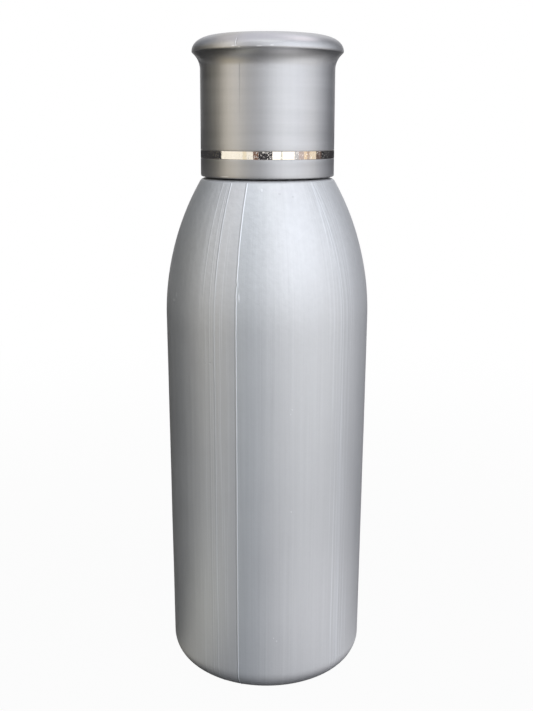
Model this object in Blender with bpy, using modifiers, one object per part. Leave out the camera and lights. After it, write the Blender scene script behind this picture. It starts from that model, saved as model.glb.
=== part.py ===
# A silver plastic oil bottle with a flared screw cap.
# Metres, +Z up. The origin is the centre of the foot, on the surface that the bottle stands on.

import math

import bmesh
import bpy
from mathutils import Matrix

# Bottle body
BODY_FOOT_RADIUS = 0.0245
BODY_RADIUS = 0.0250
FOOT_CORNER_RADIUS = 0.0060
FOOT_RING_WIDTH = 0.0034
PUSH_UP_STEP_HEIGHT = 0.0009
PUSH_UP_STEP_WIDTH = 0.0010
PUSH_UP_DOME_HEIGHT = 0.0015
WALL_HEIGHT = 0.0914
SHOULDER_HEIGHT = 0.0338
DECK_EDGE_INSET = 0.0002
DECK_CORNER_RADIUS = 0.0009
BOTTLE_WALL = 0.0010

# Neck and its thread
NECK_ROOT_RADIUS = 0.01085
NECK_WALL = 0.00185
NECK_HEIGHT = 0.0170
NECK_FOOT_FILLET = 0.0008
NECK_THROAT_FILLET = 0.0030
LIP_ROUND_RADIUS = 0.0004
THREAD_PITCH = 0.00318
THREAD_DEPTH = 0.00115
THREAD_CREST_SHARE = 0.28
THREAD_LIP_SETBACK = 0.0022
NECK_THREAD_TURNS = 1.5
CAP_THREAD_TURNS = 1.25
THREAD_RUN_OUT_TURNS = 0.125

# Clearances
SEAT_GAP = 0.0003
THREAD_RADIAL_GAP = 0.00035
CAP_DECK_GAP = 0.0004

# Neck plug with its dripper
PLUG_FLANGE_THICKNESS = 0.0009
PLUG_WALL = 0.0008
PLUG_DEPTH = 0.0072
PLUG_FLOOR_THICKNESS = 0.0010
PLUG_BEAD_HEIGHT = 0.0009
PLUG_BEAD_PROUD = 0.0002
PLUG_TIP_TAPER = 0.0006
DRIPPER_HOLE_RADIUS = 0.00180
DRIPPER_WALL = 0.0009
DRIPPER_TIP_DROP = 0.0022

# Sealing wad
WAD_THICKNESS = 0.0012
WAD_EDGE_GAP = 0.00045

# Inner cap
INNER_CAP_WALL = 0.0012
INNER_CAP_TOP_THICKNESS = 0.0014
INNER_CAP_RECESS = 0.0004
INNER_CAP_CORNER_RADIUS = 0.0007
WAD_BEAD_HEIGHT = 0.0006
WAD_BEAD_DEPTH = 0.00075
KNURL_COUNT = 12
KNURL_WIDTH = 0.0012
KNURL_DEPTH = 0.00075
KNURL_END_SETBACK = 0.0012

# Outer cap
CAP_WALL = 0.00145
CAP_TOP_THICKNESS = 0.0016
CAP_TOP_FLAT_RADIUS = 0.0111
CAP_ROLL_HEIGHT = 0.00385
CAP_RIM_OVERHANG = 0.00185
CAP_FLARE_HEIGHT = 0.00385
CAP_SKIRT_DRAFT = 0.00008
CAP_RIM_EDGE_RADIUS = 0.0002
CAP_MOUTH_CORNER_RADIUS = 0.0003
CAP_CEILING_FILLET = 0.0012
CAP_ROLL_POWER = 2.28
CAP_RIB_COUNT = 8
CAP_RIB_WIDTH = 0.0012
CAP_RIB_DEPTH = 0.0036
CAP_RIB_HEIGHT = 0.0094

# Foil band
BAND_OFFSET_HEIGHT = 0.0043
BAND_HEIGHT = 0.0019
BAND_THICKNESS = 0.0003

# Finishes: colour as linear red, green and blue, then roughness and metallic value
BOTTLE_SILVER = ((0.55, 0.56, 0.58), 0.42, 0.6)
CAP_SILVER = ((0.52, 0.53, 0.55), 0.32, 0.6)
BAND_FOIL = ((0.90, 0.87, 0.83), 0.05, 1.0)
PLUG_NATURAL = ((0.86, 0.87, 0.86), 0.45, 0.0)
INNER_CAP_WHITE = ((0.80, 0.80, 0.79), 0.40, 0.0)
WAD_FOAM = ((0.86, 0.86, 0.84), 0.80, 0.0)

# Mesh fineness
TURN_STEPS = 48
SHOULDER_STEPS = 10
CORNER_STEPS = 4
FILLET_STEPS = 2
ROLL_STEPS = 8
MERGE_DISTANCE = 0.00001

# One overrun serves every union: how far a joined shape reaches into the wall that carries it.
OVERRUN = 0.0004

# Radii that follow outwards from the neck
NECK_BORE_RADIUS = NECK_ROOT_RADIUS - NECK_WALL
THREAD_CREST_RADIUS = NECK_ROOT_RADIUS + THREAD_DEPTH
INNER_CAP_BORE_RADIUS = THREAD_CREST_RADIUS + THREAD_RADIAL_GAP
CAP_THREAD_CREST_RADIUS = NECK_ROOT_RADIUS + THREAD_RADIAL_GAP
INNER_CAP_RADIUS = INNER_CAP_BORE_RADIUS + INNER_CAP_WALL
KNURL_RADIUS = INNER_CAP_RADIUS + KNURL_DEPTH
CAP_BORE_RADIUS = KNURL_RADIUS + SEAT_GAP
CAP_SKIRT_RADIUS = CAP_BORE_RADIUS + CAP_WALL
CAP_FLARE_RADIUS = CAP_SKIRT_RADIUS - CAP_SKIRT_DRAFT
CAP_RIM_RADIUS = CAP_SKIRT_RADIUS + CAP_RIM_OVERHANG
DECK_RADIUS = CAP_SKIRT_RADIUS - DECK_EDGE_INSET

# Heights that follow upwards from the foot
DECK_Z = WALL_HEIGHT + SHOULDER_HEIGHT
LIP_Z = DECK_Z + NECK_HEIGHT
PLUG_FLANGE_Z = LIP_Z + SEAT_GAP
WAD_Z = PLUG_FLANGE_Z + PLUG_FLANGE_THICKNESS + SEAT_GAP
INNER_CAP_CEILING_Z = WAD_Z + WAD_THICKNESS + SEAT_GAP
INNER_CAP_TOP_Z = INNER_CAP_CEILING_Z + INNER_CAP_TOP_THICKNESS
CAP_MOUTH_Z = DECK_Z + CAP_DECK_GAP
CAP_CEILING_Z = INNER_CAP_TOP_Z + SEAT_GAP + CAP_RIB_HEIGHT
CAP_TOP_Z = CAP_CEILING_Z + CAP_TOP_THICKNESS
CAP_RIM_Z = CAP_TOP_Z - CAP_ROLL_HEIGHT
CAP_FLARE_Z = CAP_RIM_Z - CAP_FLARE_HEIGHT
INNER_CAP_MOUTH_Z = CAP_MOUTH_Z + INNER_CAP_RECESS
NECK_THREAD_Z = LIP_Z - THREAD_LIP_SETBACK - NECK_THREAD_TURNS * THREAD_PITCH
CAP_THREAD_Z = NECK_THREAD_Z - THREAD_PITCH / 2
BAND_Z = CAP_MOUTH_Z + BAND_OFFSET_HEIGHT

# The two threads share one flank angle, and this root width leaves SEAT_GAP between their flanks.
THREAD_CREST_WIDTH = THREAD_CREST_SHARE * THREAD_PITCH
THREAD_GAP_SHARE = THREAD_RADIAL_GAP / THREAD_DEPTH
THREAD_ROOT_WIDTH = (
    THREAD_PITCH - THREAD_CREST_WIDTH * (1 + THREAD_GAP_SHARE) - 2 * SEAT_GAP
) / (1 - THREAD_GAP_SHARE)


def clear_scene():
    for obj in list(bpy.data.objects):
        bpy.data.objects.remove(obj, do_unlink=True)


def new_collection(name):
    collection = bpy.data.collections.new(name)
    bpy.context.scene.collection.children.link(collection)
    return collection


def new_material(name, finish):
    colour, roughness, metallic = finish
    material = bpy.data.materials.new(name)
    material.use_nodes = True
    shader = material.node_tree.nodes["Principled BSDF"]
    shader.inputs["Base Color"].default_value = (*colour, 1.0)
    shader.inputs["Roughness"].default_value = roughness
    shader.inputs["Metallic"].default_value = metallic
    material.diffuse_color = (*colour, 1.0)
    return material


def arc(centre, radius, start, end, steps):
    """Points of a circular arc in the (radius, height) plane. Angles are in radians from +radius."""
    angles = [start + (end - start) * i / steps for i in range(steps + 1)]
    return [
        (centre[0] + radius * math.cos(a), centre[1] + radius * math.sin(a))
        for a in angles
    ]


def filleted(before, corner, after, radius):
    """Points of the round that replaces a corner. A short side limits its radius."""
    to_before = (before[0] - corner[0], before[1] - corner[1])
    to_after = (after[0] - corner[0], after[1] - corner[1])
    length_before = math.hypot(*to_before)
    length_after = math.hypot(*to_after)
    u = (to_before[0] / length_before, to_before[1] / length_before)
    v = (to_after[0] / length_after, to_after[1] / length_after)
    half_angle = math.acos(max(-1.0, min(1.0, u[0] * v[0] + u[1] * v[1]))) / 2
    reach = min(radius / math.tan(half_angle), length_before / 2, length_after / 2)
    radius = reach * math.tan(half_angle)
    middle = (u[0] + v[0], u[1] + v[1])
    out = radius / math.sin(half_angle) / math.hypot(*middle)
    centre = (corner[0] + middle[0] * out, corner[1] + middle[1] * out)
    first = (corner[0] + u[0] * reach - centre[0], corner[1] + u[1] * reach - centre[1])
    last = (corner[0] + v[0] * reach - centre[0], corner[1] + v[1] * reach - centre[1])
    start = math.atan2(first[1], first[0])
    turn = math.atan2(last[1], last[0]) - start
    turn = (turn + math.pi) % (2 * math.pi) - math.pi
    return arc(centre, radius, start, start + turn, FILLET_STEPS)


def rounded_outline(corners):
    """An outline from (radius, height) or (radius, height, fillet radius) entries."""
    points = []
    for i, corner in enumerate(corners):
        if len(corner) == 2:
            points.append(corner)
        else:
            points += filleted(corners[i - 1], corner, corners[i + 1], corner[2])
    return points


def turned(name, outline, material, collection, closed=False):
    """A solid of revolution about Z. The outline runs down its outer side."""
    mesh = bpy.data.meshes.new(name)
    edges = [(i, i + 1) for i in range(len(outline) - 1)]
    if closed:
        edges.append((len(outline) - 1, 0))
    mesh.from_pydata([(r, 0, z) for r, z in outline], edges, [])
    mesh.materials.append(material)
    obj = bpy.data.objects.new(name, mesh)
    collection.objects.link(obj)
    screw = obj.modifiers.new("Turn", "SCREW")
    screw.axis = "Z"
    screw.steps = TURN_STEPS
    screw.render_steps = TURN_STEPS
    screw.use_smooth_shade = True
    screw.use_merge_vertices = True
    screw.merge_threshold = MERGE_DISTANCE
    return obj


def helper(name, mesh, collection):
    """A mesh that a Boolean joins to a part. It isn't a part itself."""
    obj = bpy.data.objects.new(name, mesh)
    collection.objects.link(obj)
    obj.hide_render = True
    obj.display_type = "WIRE"
    return obj


def join(obj, other):
    union = obj.modifiers.new("Join " + other.name, "BOOLEAN")
    union.operation = "UNION"
    union.solver = "EXACT"
    union.object = other


def thread_ridge(name, wall_radius, crest_radius, start_z, turns, collection):
    """A helical ridge on a wall, fading into it at both ends."""
    steps = round(turns * TURN_STEPS)
    run_out = round(THREAD_RUN_OUT_TURNS * TURN_STEPS)
    outward = 1 if crest_radius > wall_radius else -1
    root = wall_radius - outward * OVERRUN
    flank = (THREAD_ROOT_WIDTH - THREAD_CREST_WIDTH) / 2 / THREAD_DEPTH
    half_root = THREAD_ROOT_WIDTH / 2 + OVERRUN * flank
    half_crest = THREAD_CREST_WIDTH / 2
    section = [
        (root, -half_root),
        (crest_radius, -half_crest),
        (crest_radius, half_crest),
        (root, half_root),
    ]
    bm = bmesh.new()
    face = bm.faces.new([bm.verts.new((r, 0, start_z + z)) for r, z in section])
    bmesh.ops.spin(
        bm,
        geom=[*face.verts, *face.edges, face],
        cent=(0, 0, 0),
        axis=(0, 0, 1),
        dvec=(0, 0, THREAD_PITCH / TURN_STEPS),
        angle=math.tau * steps / TURN_STEPS,
        steps=steps,
    )
    for i, vert in enumerate(bm.verts):
        ring = i // len(section)
        rise_share = min(1.0, (ring + 1) / run_out, (steps - ring + 1) / run_out)
        radius = math.hypot(vert.co.x, vert.co.y)
        wanted = root + (radius - root) * rise_share
        vert.co.x *= wanted / radius
        vert.co.y *= wanted / radius
    bmesh.ops.recalc_face_normals(bm, faces=bm.faces)
    mesh = bpy.data.meshes.new(name)
    bm.to_mesh(mesh)
    bm.free()
    return helper(name, mesh, collection)


def upright_ribs(name, count, width, inner_radius, outer_radius, low_z, high_z, collection):
    """Upright bars in a ring, as one helper mesh."""
    bm = bmesh.new()
    size = (outer_radius - inner_radius, width, high_z - low_z)
    place = ((outer_radius + inner_radius) / 2, 0, (high_z + low_z) / 2)
    bar = Matrix.Translation(place) @ Matrix.Diagonal((*size, 1))
    for i in range(count):
        turn = Matrix.Rotation(math.tau * i / count, 4, "Z")
        bmesh.ops.create_cube(bm, size=1, matrix=turn @ bar)
    mesh = bpy.data.meshes.new(name)
    bm.to_mesh(mesh)
    bm.free()
    return helper(name, mesh, collection)


def shoulder_arc(inset):
    """The shoulder's one arc: tangent to the wall, and just inside the cap's skirt at its top."""
    lean = math.atan2(BODY_RADIUS - BODY_FOOT_RADIUS, WALL_HEIGHT - FOOT_CORNER_RADIUS)
    inward = (-math.cos(lean), math.sin(lean))
    chord = (DECK_RADIUS - BODY_RADIUS, SHOULDER_HEIGHT)
    radius = (chord[0] ** 2 + chord[1] ** 2) / (
        2 * (chord[0] * inward[0] + chord[1] * inward[1])
    )
    centre = (BODY_RADIUS + radius * inward[0], WALL_HEIGHT + radius * inward[1])
    top_angle = math.asin((DECK_Z - inset - centre[1]) / (radius - inset))
    return arc(centre, radius - inset, top_angle, -lean, SHOULDER_STEPS)


def foot_outline(inset):
    """From the wall's lower end round the foot to the middle of the push-up."""
    corner_centre = (BODY_FOOT_RADIUS - FOOT_CORNER_RADIUS, FOOT_CORNER_RADIUS)
    step_radius = corner_centre[0] - FOOT_RING_WIDTH
    dome_radius = step_radius - PUSH_UP_STEP_WIDTH
    dome_top = PUSH_UP_STEP_HEIGHT + PUSH_UP_DOME_HEIGHT
    sphere_radius = (dome_radius**2 + PUSH_UP_DOME_HEIGHT**2) / (2 * PUSH_UP_DOME_HEIGHT)
    sphere_centre = (0, dome_top - sphere_radius)
    edge_angle = math.atan2(PUSH_UP_STEP_HEIGHT - sphere_centre[1], dome_radius)
    corner = arc(corner_centre, FOOT_CORNER_RADIUS - inset, 0, -math.pi / 2, CORNER_STEPS)
    dome = arc(sphere_centre, sphere_radius, edge_angle, math.pi / 2, CORNER_STEPS)
    dome[-1] = (0, dome_top)
    return corner + [(step_radius, inset)] + [(r, z + inset) for r, z in dome]


def make_bottle(material, parts, helpers):
    shoulder = shoulder_arc(0)
    outside = [
        (NECK_BORE_RADIUS, LIP_Z, LIP_ROUND_RADIUS),
        (NECK_ROOT_RADIUS, LIP_Z, LIP_ROUND_RADIUS),
        (NECK_ROOT_RADIUS, DECK_Z, NECK_FOOT_FILLET),
        (*shoulder[0], DECK_CORNER_RADIUS),
        *shoulder[1:],
        *foot_outline(0),
    ]
    inside = [
        *reversed(foot_outline(BOTTLE_WALL)),
        *reversed(shoulder_arc(BOTTLE_WALL)),
        (NECK_BORE_RADIUS, DECK_Z - BOTTLE_WALL, NECK_THROAT_FILLET),
    ]
    outline = rounded_outline(inside + outside)
    bottle = turned("bottle", outline, material, parts)
    thread = thread_ridge(
        "neck thread",
        NECK_ROOT_RADIUS,
        THREAD_CREST_RADIUS,
        NECK_THREAD_Z,
        NECK_THREAD_TURNS,
        helpers,
    )
    join(bottle, thread)
    return bottle


def make_neck_plug(material, parts):
    """A cup pressed into the neck, with a flange on the lip and a dripper in its floor."""
    bead_radius = NECK_BORE_RADIUS - SEAT_GAP
    skirt_radius = bead_radius - PLUG_BEAD_PROUD
    cup_radius = skirt_radius - PLUG_WALL
    flange_radius = NECK_ROOT_RADIUS - LIP_ROUND_RADIUS
    flange_top = PLUG_FLANGE_Z + PLUG_FLANGE_THICKNESS
    tip_z = PLUG_FLANGE_Z - PLUG_DEPTH
    floor_z = tip_z + PLUG_FLOOR_THICKNESS
    bead_z = (PLUG_FLANGE_Z + tip_z) / 2
    dripper_radius = DRIPPER_HOLE_RADIUS + DRIPPER_WALL
    dripper_top = flange_top - DRIPPER_TIP_DROP
    outline = [
        (cup_radius, flange_top),
        (flange_radius, flange_top),
        (flange_radius, PLUG_FLANGE_Z),
        (skirt_radius, PLUG_FLANGE_Z),
        (skirt_radius, bead_z + PLUG_BEAD_HEIGHT / 2),
        (bead_radius, bead_z),
        (skirt_radius, bead_z - PLUG_BEAD_HEIGHT / 2),
        (skirt_radius, tip_z + PLUG_TIP_TAPER),
        (skirt_radius - PLUG_TIP_TAPER, tip_z),
        (DRIPPER_HOLE_RADIUS, tip_z),
        (DRIPPER_HOLE_RADIUS, dripper_top),
        (dripper_radius, dripper_top),
        (dripper_radius, floor_z),
        (cup_radius, floor_z),
    ]
    return turned("neck_plug", outline, material, parts, closed=True)


def make_wad(material, parts):
    radius = INNER_CAP_BORE_RADIUS - WAD_EDGE_GAP
    bm = bmesh.new()
    bmesh.ops.create_cone(
        bm,
        cap_ends=True,
        segments=TURN_STEPS,
        radius1=radius,
        radius2=radius,
        depth=WAD_THICKNESS,
    )
    mesh = bpy.data.meshes.new("sealing_wad")
    bm.to_mesh(mesh)
    bm.free()
    mesh.materials.append(material)
    wad = bpy.data.objects.new("sealing_wad", mesh)
    wad.location.z = WAD_Z + WAD_THICKNESS / 2
    parts.objects.link(wad)
    return wad


def make_inner_cap(material, parts, helpers):
    bead_top = WAD_Z - SEAT_GAP
    bead_radius = INNER_CAP_BORE_RADIUS - WAD_BEAD_DEPTH
    outline = rounded_outline(
        [
            (0, INNER_CAP_TOP_Z),
            (INNER_CAP_RADIUS, INNER_CAP_TOP_Z, INNER_CAP_CORNER_RADIUS),
            (INNER_CAP_RADIUS, INNER_CAP_MOUTH_Z),
            (INNER_CAP_BORE_RADIUS, INNER_CAP_MOUTH_Z),
            (INNER_CAP_BORE_RADIUS, bead_top - WAD_BEAD_HEIGHT),
            (bead_radius, bead_top - WAD_BEAD_HEIGHT / 2),
            (INNER_CAP_BORE_RADIUS, bead_top),
            (INNER_CAP_BORE_RADIUS, INNER_CAP_CEILING_Z),
            (0, INNER_CAP_CEILING_Z),
        ]
    )
    inner_cap = turned("inner_cap", outline, material, parts)
    thread = thread_ridge(
        "cap thread",
        INNER_CAP_BORE_RADIUS,
        CAP_THREAD_CREST_RADIUS,
        CAP_THREAD_Z,
        CAP_THREAD_TURNS,
        helpers,
    )
    knurl = upright_ribs(
        "knurl",
        KNURL_COUNT,
        KNURL_WIDTH,
        INNER_CAP_RADIUS - OVERRUN,
        KNURL_RADIUS,
        INNER_CAP_MOUTH_Z + KNURL_END_SETBACK,
        INNER_CAP_TOP_Z - KNURL_END_SETBACK,
        helpers,
    )
    join(inner_cap, thread)
    join(inner_cap, knurl)
    return inner_cap


def rim_outline():
    """From the cap's flat top over the rolled rim to its edge, then under the flare to the skirt."""
    reach = CAP_RIM_RADIUS - CAP_TOP_FLAT_RADIUS
    power = 2 / CAP_ROLL_POWER
    angles = [math.pi / 2 * (1 - i / ROLL_STEPS) for i in range(1, ROLL_STEPS)]
    roll = [
        (
            CAP_TOP_FLAT_RADIUS + reach * math.cos(a) ** power,
            CAP_RIM_Z + CAP_ROLL_HEIGHT * math.sin(a) ** power,
        )
        for a in angles
    ]
    overhang = CAP_RIM_RADIUS - CAP_FLARE_RADIUS
    flare_radius = (CAP_FLARE_HEIGHT**2 + overhang**2) / (2 * overhang)
    flare_turn = math.asin(CAP_FLARE_HEIGHT / flare_radius)
    flare_centre = (CAP_FLARE_RADIUS + flare_radius, CAP_FLARE_Z)
    flare = arc(flare_centre, flare_radius, math.pi - flare_turn, math.pi, CORNER_STEPS)
    return [
        (CAP_TOP_FLAT_RADIUS, CAP_TOP_Z),
        *roll,
        (CAP_RIM_RADIUS, CAP_RIM_Z, CAP_RIM_EDGE_RADIUS),
        *flare[1:],
    ]


def skirt_radius_at(z):
    """The skirt narrows a little from its mouth up to the flare."""
    share = (z - CAP_MOUTH_Z) / (CAP_FLARE_Z - CAP_MOUTH_Z)
    return CAP_SKIRT_RADIUS - CAP_SKIRT_DRAFT * share


def make_outer_cap(material, parts, helpers):
    groove_low = BAND_Z - SEAT_GAP
    groove_high = BAND_Z + BAND_HEIGHT + SEAT_GAP
    groove_depth = BAND_THICKNESS + SEAT_GAP
    outline = rounded_outline(
        [
            (0, CAP_TOP_Z),
            *rim_outline(),
            (skirt_radius_at(groove_high), groove_high),
            (skirt_radius_at(groove_high) - groove_depth, groove_high),
            (skirt_radius_at(groove_low) - groove_depth, groove_low),
            (skirt_radius_at(groove_low), groove_low),
            (CAP_SKIRT_RADIUS, CAP_MOUTH_Z, CAP_MOUTH_CORNER_RADIUS),
            (CAP_BORE_RADIUS, CAP_MOUTH_Z, CAP_MOUTH_CORNER_RADIUS),
            (CAP_BORE_RADIUS, CAP_CEILING_Z, CAP_CEILING_FILLET),
            (0, CAP_CEILING_Z),
        ]
    )
    outer_cap = turned("outer_cap", outline, material, parts)
    ribs = upright_ribs(
        "cap ribs",
        CAP_RIB_COUNT,
        CAP_RIB_WIDTH,
        CAP_BORE_RADIUS - CAP_RIB_DEPTH,
        CAP_BORE_RADIUS + OVERRUN,
        CAP_CEILING_Z - CAP_RIB_HEIGHT,
        CAP_CEILING_Z + OVERRUN,
        helpers,
    )
    join(outer_cap, ribs)
    return outer_cap


def make_foil_band(material, parts):
    band_top = BAND_Z + BAND_HEIGHT
    outline = [
        (skirt_radius_at(band_top), band_top),
        (skirt_radius_at(BAND_Z), BAND_Z),
        (skirt_radius_at(BAND_Z) - BAND_THICKNESS, BAND_Z),
        (skirt_radius_at(band_top) - BAND_THICKNESS, band_top),
    ]
    return turned("foil_band", outline, material, parts, closed=True)


def main():
    clear_scene()
    parts = new_collection("oil bottle")
    helpers = new_collection("helpers")
    helpers.hide_render = True
    make_bottle(new_material("bottle silver", BOTTLE_SILVER), parts, helpers)
    make_neck_plug(new_material("plug plastic", PLUG_NATURAL), parts)
    make_wad(new_material("wad foam", WAD_FOAM), parts)
    make_inner_cap(new_material("inner cap white", INNER_CAP_WHITE), parts, helpers)
    make_outer_cap(new_material("cap silver", CAP_SILVER), parts, helpers)
    make_foil_band(new_material("band foil", BAND_FOIL), parts)


main()
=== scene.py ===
# Oil bottle in pearl silver plastic, with a dripper plug, a threaded inner cap and a flared outer cap.

import math

import bmesh
import bpy
from mathutils import Matrix, Vector, noise


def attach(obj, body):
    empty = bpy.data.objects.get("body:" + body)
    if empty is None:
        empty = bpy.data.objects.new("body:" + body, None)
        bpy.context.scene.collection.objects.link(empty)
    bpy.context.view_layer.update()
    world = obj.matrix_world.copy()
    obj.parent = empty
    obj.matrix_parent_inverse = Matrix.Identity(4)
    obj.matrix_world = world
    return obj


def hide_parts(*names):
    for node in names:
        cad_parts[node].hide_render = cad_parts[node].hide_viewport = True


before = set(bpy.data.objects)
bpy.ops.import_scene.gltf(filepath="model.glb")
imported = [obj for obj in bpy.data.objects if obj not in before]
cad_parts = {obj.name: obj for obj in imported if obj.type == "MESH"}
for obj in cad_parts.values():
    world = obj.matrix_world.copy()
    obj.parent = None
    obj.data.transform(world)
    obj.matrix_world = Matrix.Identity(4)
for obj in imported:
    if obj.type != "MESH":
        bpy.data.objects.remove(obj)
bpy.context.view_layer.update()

mm = 0.001
up = (0, 0, 1)
centre = (0, 0, 0)
mergeGap = 0.0005 * mm
sharpAngle = 35


# Directions: azimuth is in degrees from the front, -Y, towards +X.

def polar(azimuth, radius, height):
    angle = math.radians(azimuth)
    return (radius * math.sin(angle), -radius * math.cos(angle), height)


def azimuthOf(point):
    return math.degrees(math.atan2(point.x, -point.y))


# Shader maths: a Wire is one output socket, and an expression on wires adds its nodes.

class Wire:
    def __init__(self, nodes, socket):
        self.nodes = nodes
        self.socket = socket

    def __add__(self, other):
        return self.nodes.maths("ADD", self, other)

    def __sub__(self, other):
        return self.nodes.maths("SUBTRACT", self, other)

    def __rsub__(self, other):
        return self.nodes.maths("SUBTRACT", other, self)

    def __mul__(self, other):
        return self.nodes.maths("MULTIPLY", self, other)

    __radd__ = __add__
    __rmul__ = __mul__


class Nodes:
    # adds nodes to one node tree
    def __init__(self, tree):
        self.tree = tree

    def node(self, kind, settings, inputs, output=0):
        made = self.tree.nodes.new(kind)
        for name, value in settings.items():
            setattr(made, name, value)
        for name, value in inputs.items():
            self.feed(made.inputs[name], value)
        return Wire(self, made.outputs[output])

    def feed(self, socket, value):
        if isinstance(value, Wire):
            self.tree.links.new(value.socket, socket)
        else:
            socket.default_value = value

    def maths(self, operation, first, second):
        return self.node("ShaderNodeMath", {"operation": operation}, {0: first, 1: second})

    def vectorMaths(self, operation, first, second=(0, 0, 0), output="Vector"):
        settings = {"operation": operation}
        return self.node("ShaderNodeVectorMath", settings, {0: first, 1: second}, output)

    def seen(self):
        # 1 for the camera and for what reflections and clear pieces show, 0 for light on a surface
        rays = self.node("ShaderNodeLightPath", {}, {}).socket.node.outputs
        total = Wire(self, rays["Is Camera Ray"])
        for name in ("Is Glossy Ray", "Is Transmission Ray"):
            total = self.maths("MAXIMUM", total, Wire(self, rays[name]))
        return total


class Finish(Nodes):
    # one material and the nodes that make it
    def __init__(self, name):
        self.material = bpy.data.materials.new(name)
        self.material.use_nodes = True
        super().__init__(self.material.node_tree)
        self.shader = self.tree.nodes["Principled BSDF"]
        self.place = self.node("ShaderNodeTexCoord", {}, {}, "Object")

    def split(self, vector):
        made = self.node("ShaderNodeSeparateXYZ", {}, {0: vector})
        return [Wire(self, socket) for socket in made.socket.node.outputs]

    def grain(self, size, detail=2.0, where=None):
        # noise around 0.5 whose features are about this size
        inputs = {"Vector": where or self.place, "Scale": 1 / size, "Detail": detail, "Roughness": 0.5}
        return self.node("ShaderNodeTexNoise", {}, inputs)

    def smooth(self, value, low, high):
        # 0 below low and 1 above high, eased between them
        inputs = {"Value": value, "From Min": low, "From Max": high}
        return self.node("ShaderNodeMapRange", {"interpolation_type": "SMOOTHSTEP"}, inputs)

    def blend(self, share, first, second):
        inputs = {"Factor": share, 6: first, 7: second}
        return self.node("ShaderNodeMix", {"data_type": "RGBA"}, inputs, 2)

    def around(self):
        # the direction from the axis: a pattern on it runs straight down the wall
        x, y, z = self.split(self.place)
        flat = self.node("ShaderNodeCombineXYZ", {}, {"X": x, "Y": y})
        return self.vectorMaths("NORMALIZE", flat), z

    def streaks(self, radius, width, length, detail=2.0):
        # noise drawn out along the height
        outward, z = self.around()
        ring = self.node("ShaderNodeVectorMath", {"operation": "SCALE"}, {0: outward, "Scale": radius})
        level = self.node("ShaderNodeCombineXYZ", {}, {"Z": z * (width / length)})
        where = self.vectorMaths("ADD", ring, level)
        return self.grain(width, detail, where=where)

    def spot(self, azimuth, height, radius, sizeX, sizeZ):
        # 1 at one small mark on a wall of this radius, and 0 away from it
        offset = self.vectorMaths("SUBTRACT", self.place, polar(azimuth, radius, height))
        scaled = self.vectorMaths("DIVIDE", offset, (sizeX, sizeX, sizeZ))
        reach = self.vectorMaths("LENGTH", scaled, output="Value")
        return 1 - self.smooth(reach, markCore, 1.0)

    def attribute(self, name, output="Fac"):
        return self.node("ShaderNodeAttribute", {"attribute_name": name}, {}, output)

    def bump(self, height):
        # height is in millimetres
        return self.node("ShaderNodeBump", {}, {"Height": height, "Distance": mm, "Strength": 1.0})

    def set(self, **sockets):
        for name, value in sockets.items():
            self.feed(self.shader.inputs[name.replace("_", " ")], value)
        return self.material


def grey(level):
    return (level, level, level, 1)


def tinted(base, share=1.0, tint=(1, 1, 1)):
    return (*[min(1, share * c * t) for c, t in zip(base, tint)], 1)


def toned(finish, tone, base, low=0.80, high=1.20, tint=(1, 1, 1)):
    # the base colour, darker and lighter with a tone around 0
    return finish.blend(tone + 0.5, tinted(base, low, tint), tinted(base, high, tint))


def weighed(look, kind, **waves):
    # noises brought round 0, each with its own weight for this use
    return sum((wave - 0.5) * look[name + kind] for name, wave in waves.items())


skinRoughness = 0.16
cloudRelief = 0.02


def plainFinish(name, look):
    # plain moulded plastic, a little cloudy, with a fine skin
    finish = Finish(name)
    cloud = finish.grain(look["cloudSize"], 3)
    skin = finish.grain(look["skinSize"])
    finish.set(
        Base_Color=finish.blend(cloud, tinted(look["dark"]), tinted(look["light"])),
        Roughness=look["roughness"] + skin * skinRoughness,
        Normal=finish.bump(cloud * cloudRelief + skin * look["skinRelief"]),
    )
    return finish


# Turned shapes: a path is drawn beside the axis and spun round it.

class Path:
    # an outline in radius and height, drawn vertex by vertex
    def __init__(self, radius, height):
        self.bm = bmesh.new()
        self.first = self.bm.verts.new((radius, 0, height))
        self.last = self.first
        self.rounds = []

    def line(self, radius, height, cuts=1):
        start = self.last.co.copy()
        for i in range(1, cuts + 1):
            made = bmesh.ops.extrude_vert_indiv(self.bm, verts=[self.last])
            self.last = made["verts"][0]
            self.last.co = start.lerp((radius, 0, height), i / cuts)
        return self

    def arc(self, radius, height, degrees, steps):
        # about that point, anticlockwise for a positive angle
        made = bmesh.ops.spin(
            self.bm, geom=[self.last], cent=(radius, 0, height), axis=(0, -1, 0),
            angle=math.radians(degrees), steps=steps,
        )
        self.last = [item for item in made["geom_last"] if isinstance(item, bmesh.types.BMVert)][0]

    def round(self, size):
        # rounds the corner that was drawn last
        self.rounds.append((self.last, size))

    def through(self, *corners):
        # straight on through (radius, height) corners, rounded where a size follows
        for radius, height, *size in corners:
            self.line(radius, height)
            if size:
                self.round(*size)
        return self

    def close(self):
        self.bm.edges.new((self.last, self.first))
        return self

    def turned(self, stops):
        # spins gap by gap, so that a seam can have narrow facets
        bm = self.bm
        for corner, size in self.rounds:
            soften(bm, [corner], size, "VERTICES", segments=4)
        turn = Matrix.Rotation(math.radians(stops[0] - 90), 3, "Z")
        bmesh.ops.rotate(bm, verts=bm.verts, cent=centre, matrix=turn)
        last = [*bm.verts, *bm.edges]
        for before, after in zip(stops, stops[1:]):
            made = bmesh.ops.spin(
                bm, geom=last, cent=centre, axis=up, angle=math.radians(after - before), steps=1
            )
            last = made["geom_last"]
        bmesh.ops.remove_doubles(bm, verts=bm.verts, dist=mergeGap)
        bmesh.ops.recalc_face_normals(bm, faces=bm.faces)
        return bm


def soften(bm, geom, size, affect, segments):
    bmesh.ops.bevel(
        bm, geom=geom, offset=size, offset_type="OFFSET", affect=affect, segments=segments,
        profile=0.5, material=-1,
    )


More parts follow.
